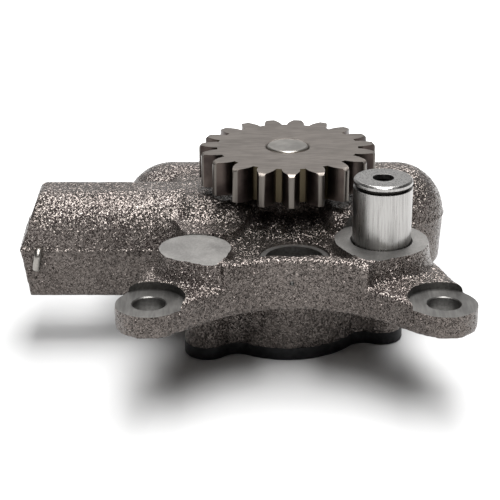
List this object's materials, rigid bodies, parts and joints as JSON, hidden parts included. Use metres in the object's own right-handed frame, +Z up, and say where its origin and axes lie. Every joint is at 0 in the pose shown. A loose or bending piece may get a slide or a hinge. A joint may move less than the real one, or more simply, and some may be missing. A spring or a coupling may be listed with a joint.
{
  "type": "engine oil pump",
  "caption": "Gear-driven rotor oil pump: cast body with bearing-cap flange and relief-valve arm, spur drive gear and idler stub shaft.",
  "frame": {"origin": "on the drive shaft's axis, at the outer face of the end cover", "axes": "+Z up along the drive shaft towards the gear; -Y towards the crankshaft and the ears; the relief-valve arm runs towards -X"},
  "size_m": [0.1727, 0.132, 0.0792],
  "materials": {
    "cast_iron_body": "sand-cast grey iron with machined seats",
    "black_cover": "black satin plate",
    "zinc_fastener": "plain steel fastener",
    "hardened_steel": "hardened steel",
    "gear_steel": "case-hardened steel, brown tint",
    "ground_steel": "ground and polished steel",
    "sintered_iron": "sintered iron",
    "bronze_bush": "bronze",
    "seal_rubber": "black rubber",
    "spring_steel": "spring steel"
  },
  "bodies": {
    "housing": {"pump_body": "cast_iron_body", "end_cover": "black_cover", "cover_screws": "zinc_fastener", "cover_dowels": "hardened_steel", "cover_seal_ring": "seal_rubber", "upper_shaft_bush": "bronze_bush", "lower_shaft_bush": "bronze_bush", "idler_stub_shaft": "ground_steel", "relief_spring": "spring_steel", "relief_spring_cap": "zinc_fastener", "relief_cap_pin": "ground_steel"},
    "drive": {"drive_shaft": "hardened_steel", "drive_gear": "gear_steel", "inner_rotor": "sintered_iron", "rotor_drive_pin": "hardened_steel"},
    "outer_ring": {"outer_rotor": "sintered_iron"},
    "plunger": {"relief_plunger": "hardened_steel"}
  },
  "joints": [
    {"name": "drive_spin", "type": "hinge", "parent": "housing", "child": "drive", "pos_m": [0, 0, 0.0652], "axis": [0, 0, 1], "continuous": true},
    {"name": "outer_rotor_spin", "type": "hinge", "parent": "housing", "child": "outer_ring", "pos_m": [0, 0.0027, 0.02], "axis": [0, 0, 1], "continuous": true},
    {"name": "relief_slide", "type": "slide", "parent": "housing", "child": "plunger", "axis": [-1, 0, 0], "range_m": [0, 0.014], "stiffness_N_per_m": 2500, "springref_m": -0.03, "deforming": ["relief_spring"]}
  ],
  "couplings": [
    {"joint": "outer_rotor_spin", "follows": "drive_spin", "ratio": 0.8}
  ]
}
